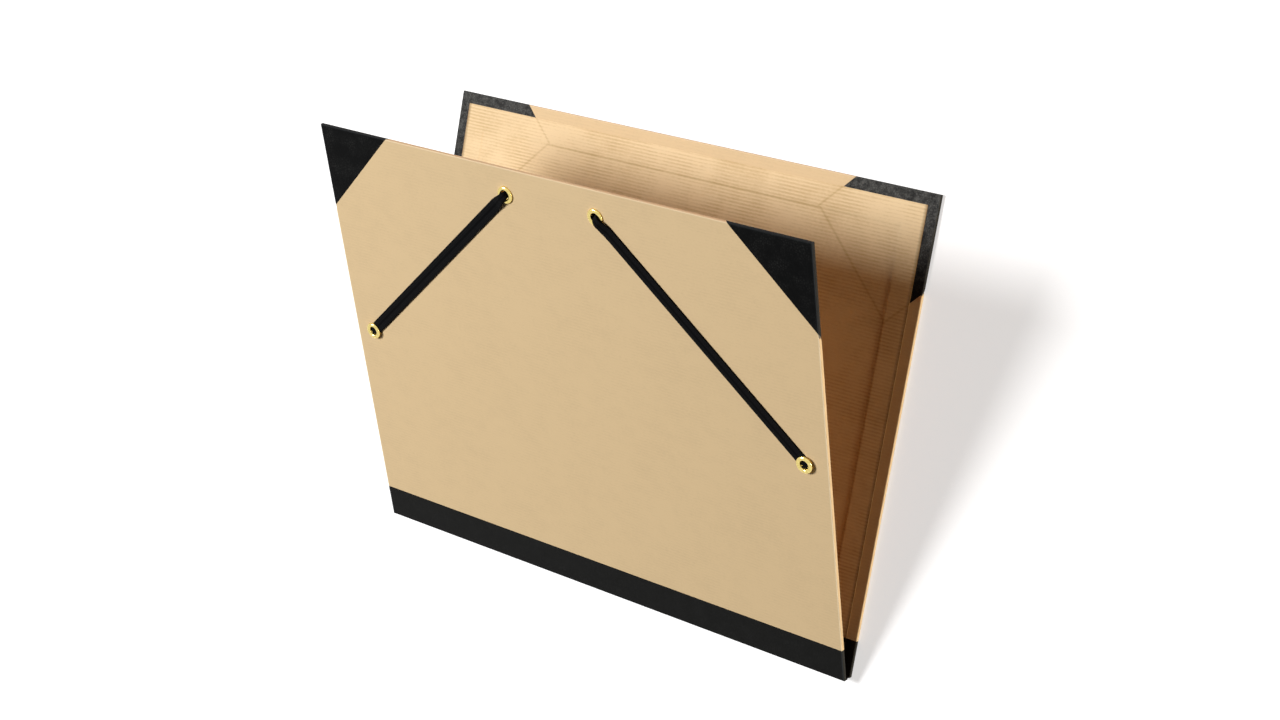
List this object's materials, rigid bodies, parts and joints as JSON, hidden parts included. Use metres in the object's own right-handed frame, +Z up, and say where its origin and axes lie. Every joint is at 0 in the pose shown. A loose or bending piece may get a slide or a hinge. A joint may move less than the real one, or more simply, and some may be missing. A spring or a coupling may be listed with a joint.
{
  "type": "elastic art portfolio",
  "caption": "Hard-cover folder for loose artwork: kraft-covered boards on a cloth hinge, with cloth corners and an elastic strap riveted to the front cover.",
  "frame": {"origin": "on the back cover's outer face, at its middle, at the level of the surface it lies on", "axes": "+X along the spine, towards the left side of the front cover as its face is read; +Y from the fore-edge to the spine; +Z up, out of the back cover towards the front cover"},
  "size_m": [0.33, 0.2615, 0.1167],
  "materials": {
    "greyboard": "matte",
    "kraft_paper": "matte",
    "ribbed_lining_paper": "matte",
    "black_cloth": "matte",
    "brass": "polished",
    "elastic_webbing": "matte"
  },
  "bodies": {
    "back_cover": {"back_board": "greyboard", "back_kraft_wrap": "kraft_paper", "back_lining": "ribbed_lining_paper", "back_left_corner": "black_cloth", "back_right_corner": "black_cloth", "spine_cloth": "black_cloth", "inner_hinge_cloth": "black_cloth"},
    "front_cover": {"front_board": "greyboard", "front_kraft_wrap": "kraft_paper", "front_lining": "ribbed_lining_paper", "front_left_corner": "black_cloth", "front_right_corner": "black_cloth", "lower_left_eyelet": "brass", "upper_left_eyelet": "brass", "lower_right_eyelet": "brass", "upper_right_eyelet": "brass", "elastic": "elastic_webbing"}
  },
  "joints": [
    {"name": "spine_hinge", "type": "hinge", "parent": "back_cover", "child": "front_cover", "pos_m": [0, 0.1315, 0.00325], "axis": [-1, 0, 0], "range_deg": [-25, 154], "deforming": ["spine_cloth", "inner_hinge_cloth"]}
  ]
}
